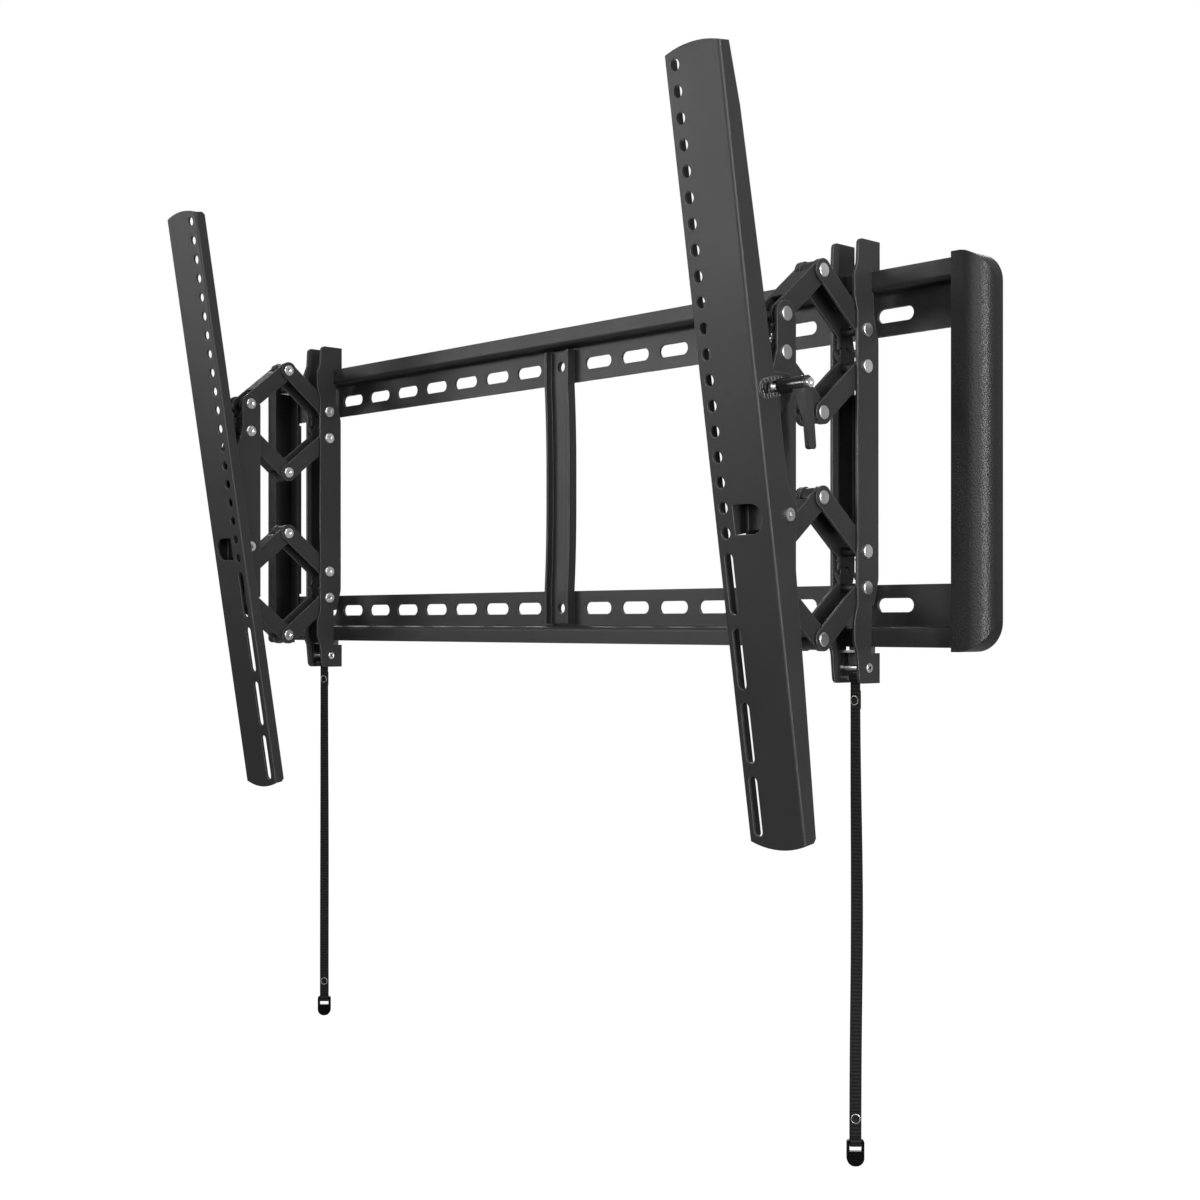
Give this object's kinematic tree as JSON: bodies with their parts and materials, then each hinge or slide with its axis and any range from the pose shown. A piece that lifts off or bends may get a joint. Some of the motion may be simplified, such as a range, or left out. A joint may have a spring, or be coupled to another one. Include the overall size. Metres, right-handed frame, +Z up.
{
  "type": "tilting tv wall bracket",
  "caption": "Wide wall plate with slotted rails and two sliding scissor brackets that push out and tilt long upright arms for a flat television.",
  "frame": {"origin": "on the wall plane, midway between the two slot rows and between the two ends", "axes": "+X along the rails to the right, +Y into the wall, +Z up"},
  "size_m": [1.016, 0.2146, 0.8884],
  "materials": {
    "black_coat": "fine textured satin powder coat",
    "bright_steel": "bright zinc plate",
    "moulded_cover": "satin moulded",
    "gloss_handle": "glossy moulded",
    "webbing": "woven webbing",
    "moulded_tab": "satin moulded"
  },
  "bodies": {
    "wall_plate": {"top_rail": "black_coat", "bottom_rail": "black_coat", "center_brace": "black_coat", "left_end_upright": "black_coat", "right_end_upright": "black_coat", "left_end_cover": "moulded_cover", "right_end_cover": "moulded_cover"},
    "right_hook_bracket": {"right_hook_bracket": "black_coat", "right_rear_pivot_rivets": "bright_steel", "right_latch_pin": "bright_steel"},
    "right_rear_link_1": {"right_rear_link_1": "black_coat", "right_elbow_rivet_1": "bright_steel"},
    "right_front_link_1": {"right_front_link_1": "black_coat"},
    "right_rear_link_2": {"right_rear_link_2": "black_coat", "right_elbow_rivet_2": "bright_steel"},
    "right_front_link_2": {"right_front_link_2": "black_coat"},
    "right_rear_link_3": {"right_rear_link_3": "black_coat", "right_elbow_rivet_3": "bright_steel"},
    "right_front_link_3": {"right_front_link_3": "black_coat"},
    "right_rear_link_4": {"right_rear_link_4": "black_coat", "right_elbow_rivet_4": "bright_steel"},
    "right_front_link_4": {"right_front_link_4": "black_coat"},
    "right_tilt_bracket": {"right_tilt_bracket": "black_coat", "right_front_pivot_rivets": "bright_steel", "right_lever_stud": "bright_steel"},
    "right_tv_arm": {"right_tv_arm": "black_coat", "right_tilt_pivot_rivets": "bright_steel"},
    "right_clamp_lever": {"right_clamp_lever": "gloss_handle", "right_clamp_lever_screw": "bright_steel"},
    "right_latch": {"right_latch": "black_coat", "right_pull_strap": "webbing", "right_pull_tab": "moulded_tab"},
    "left_hook_bracket": {"left_hook_bracket": "black_coat", "left_rear_pivot_rivets": "bright_steel", "left_latch_pin": "bright_steel"},
    "left_rear_link_1": {"left_rear_link_1": "black_coat", "left_elbow_rivet_1": "bright_steel"},
    "left_front_link_1": {"left_front_link_1": "black_coat"},
    "left_rear_link_2": {"left_rear_link_2": "black_coat", "left_elbow_rivet_2": "bright_steel"},
    "left_front_link_2": {"left_front_link_2": "black_coat"},
    "left_rear_link_3": {"left_rear_link_3": "black_coat", "left_elbow_rivet_3": "bright_steel"},
    "left_front_link_3": {"left_front_link_3": "black_coat"},
    "left_rear_link_4": {"left_rear_link_4": "black_coat", "left_elbow_rivet_4": "bright_steel"},
    "left_front_link_4": {"left_front_link_4": "black_coat"},
    "left_tilt_bracket": {"left_tilt_bracket": "black_coat", "left_front_pivot_rivets": "bright_steel", "left_lever_stud": "bright_steel"},
    "left_tv_arm": {"left_tv_arm": "black_coat", "left_tilt_pivot_rivets": "bright_steel"},
    "left_clamp_lever": {"left_clamp_lever": "gloss_handle", "left_clamp_lever_screw": "bright_steel"},
    "left_latch": {"left_latch": "black_coat", "left_pull_strap": "webbing", "left_pull_tab": "moulded_tab"}
  },
  "joints": [
    {"name": "right_slide", "type": "slide", "parent": "wall_plate", "child": "right_hook_bracket", "axis": [1, 0, 0], "range_m": [-0.3, 0.07]},
    {"name": "right_extension", "type": "hinge", "parent": "right_hook_bracket", "child": "right_rear_link_1", "pos_m": [0.3815, -0.027, 0.106], "axis": [1, 0, 0], "range_deg": [-28, 8]},
    {"name": "right_rear_pivot_2", "type": "hinge", "parent": "right_hook_bracket", "child": "right_rear_link_2", "pos_m": [0.3815, -0.027, 0.076], "axis": [1, 0, 0], "range_deg": [-8, 28]},
    {"name": "right_rear_pivot_3", "type": "hinge", "parent": "right_hook_bracket", "child": "right_rear_link_3", "pos_m": [0.3815, -0.027, -0.076], "axis": [1, 0, 0], "range_deg": [-28, 8]},
    {"name": "right_rear_pivot_4", "type": "hinge", "parent": "right_hook_bracket", "child": "right_rear_link_4", "pos_m": [0.3815, -0.027, -0.106], "axis": [1, 0, 0], "range_deg": [-8, 28]},
    {"name": "right_elbow_1", "type": "hinge", "parent": "right_rear_link_1", "child": "right_front_link_1", "pos_m": [0.3815, -0.07925, 0.148], "axis": [1, 0, 0], "range_deg": [-16, 56]},
    {"name": "right_elbow_2", "type": "hinge", "parent": "right_rear_link_2", "child": "right_front_link_2", "pos_m": [0.3815, -0.07925, 0.034], "axis": [1, 0, 0], "range_deg": [-56, 16]},
    {"name": "right_elbow_3", "type": "hinge", "parent": "right_rear_link_3", "child": "right_front_link_3", "pos_m": [0.3815, -0.07925, -0.034], "axis": [1, 0, 0], "range_deg": [-16, 56]},
    {"name": "right_elbow_4", "type": "hinge", "parent": "right_rear_link_4", "child": "right_front_link_4", "pos_m": [0.3815, -0.07925, -0.148], "axis": [1, 0, 0], "range_deg": [-56, 16]},
    {"name": "right_front_pivot_1", "type": "hinge", "parent": "right_front_link_1", "child": "right_tilt_bracket", "pos_m": [0.3815, -0.1315, 0.106], "axis": [1, 0, 0], "range_deg": [-28, 8]},
    {"name": "right_tilt", "type": "hinge", "parent": "right_tilt_bracket", "child": "right_tv_arm", "pos_m": [0.3815, -0.1338, -0.0507], "axis": [1, 0, 0], "range_deg": [-9.28, 0]},
    {"name": "right_lever_turn", "type": "hinge", "parent": "right_tilt_bracket", "child": "right_clamp_lever", "pos_m": [0.3815, -0.1455, 0.0476], "axis": [1, 0, 0], "range_deg": [0, 150]},
    {"name": "right_latch_slide", "type": "slide", "parent": "right_hook_bracket", "child": "right_latch", "axis": [0, 0, -1], "range_m": [0, 0.01], "stiffness_N_per_m": 400, "springref_m": -0.006},
    {"name": "left_slide", "type": "slide", "parent": "wall_plate", "child": "left_hook_bracket", "axis": [1, 0, 0], "range_m": [-0.07, 0.3]},
    {"name": "left_extension", "type": "hinge", "parent": "left_hook_bracket", "child": "left_rear_link_1", "pos_m": [-0.3815, -0.027, 0.106], "axis": [1, 0, 0], "range_deg": [-28, 8]},
    {"name": "left_rear_pivot_2", "type": "hinge", "parent": "left_hook_bracket", "child": "left_rear_link_2", "pos_m": [-0.3815, -0.027, 0.076], "axis": [1, 0, 0], "range_deg": [-8, 28]},
    {"name": "left_rear_pivot_3", "type": "hinge", "parent": "left_hook_bracket", "child": "left_rear_link_3", "pos_m": [-0.3815, -0.027, -0.076], "axis": [1, 0, 0], "range_deg": [-28, 8]},
    {"name": "left_rear_pivot_4", "type": "hinge", "parent": "left_hook_bracket", "child": "left_rear_link_4", "pos_m": [-0.3815, -0.027, -0.106], "axis": [1, 0, 0], "range_deg": [-8, 28]},
    {"name": "left_elbow_1", "type": "hinge", "parent": "left_rear_link_1", "child": "left_front_link_1", "pos_m": [-0.3815, -0.07925, 0.148], "axis": [1, 0, 0], "range_deg": [-16, 56]},
    {"name": "left_elbow_2", "type": "hinge", "parent": "left_rear_link_2", "child": "left_front_link_2", "pos_m": [-0.3815, -0.07925, 0.034], "axis": [1, 0, 0], "range_deg": [-56, 16]},
    {"name": "left_elbow_3", "type": "hinge", "parent": "left_rear_link_3", "child": "left_front_link_3", "pos_m": [-0.3815, -0.07925, -0.034], "axis": [1, 0, 0], "range_deg": [-16, 56]},
    {"name": "left_elbow_4", "type": "hinge", "parent": "left_rear_link_4", "child": "left_front_link_4", "pos_m": [-0.3815, -0.07925, -0.148], "axis": [1, 0, 0], "range_deg": [-56, 16]},
    {"name": "left_front_pivot_1", "type": "hinge", "parent": "left_front_link_1", "child": "left_tilt_bracket", "pos_m": [-0.3815, -0.1315, 0.106], "axis": [1, 0, 0], "range_deg": [-28, 8]},
    {"name": "left_tilt", "type": "hinge", "parent": "left_tilt_bracket", "child": "left_tv_arm", "pos_m": [-0.3815, -0.1338, -0.0507], "axis": [1, 0, 0], "range_deg": [-9.28, 0]},
    {"name": "left_lever_turn", "type": "hinge", "parent": "left_tilt_bracket", "child": "left_clamp_lever", "pos_m": [-0.3815, -0.1455, 0.0476], "axis": [1, 0, 0], "range_deg": [-150, 0]},
    {"name": "left_latch_slide", "type": "slide", "parent": "left_hook_bracket", "child": "left_latch", "axis": [0, 0, -1], "range_m": [0, 0.01], "stiffness_N_per_m": 400, "springref_m": -0.006}
  ],
  "couplings": [
    {"joint": "right_rear_pivot_2", "follows": "right_extension", "ratio": -1},
    {"joint": "right_rear_pivot_3", "follows": "right_extension", "ratio": 1},
    {"joint": "right_rear_pivot_4", "follows": "right_extension", "ratio": -1},
    {"joint": "right_elbow_1", "follows": "right_extension", "ratio": -2},
    {"joint": "right_elbow_2", "follows": "right_extension", "ratio": 2},
    {"joint": "right_elbow_3", "follows": "right_extension", "ratio": -2},
    {"joint": "right_elbow_4", "follows": "right_extension", "ratio": 2},
    {"joint": "right_front_pivot_1", "follows": "right_extension", "ratio": 1},
    {"joint": "left_rear_pivot_2", "follows": "left_extension", "ratio": -1},
    {"joint": "left_rear_pivot_3", "follows": "left_extension", "ratio": 1},
    {"joint": "left_rear_pivot_4", "follows": "left_extension", "ratio": -1},
    {"joint": "left_elbow_1", "follows": "left_extension", "ratio": -2},
    {"joint": "left_elbow_2", "follows": "left_extension", "ratio": 2},
    {"joint": "left_elbow_3", "follows": "left_extension", "ratio": -2},
    {"joint": "left_elbow_4", "follows": "left_extension", "ratio": 2},
    {"joint": "left_front_pivot_1", "follows": "left_extension", "ratio": 1}
  ]
}
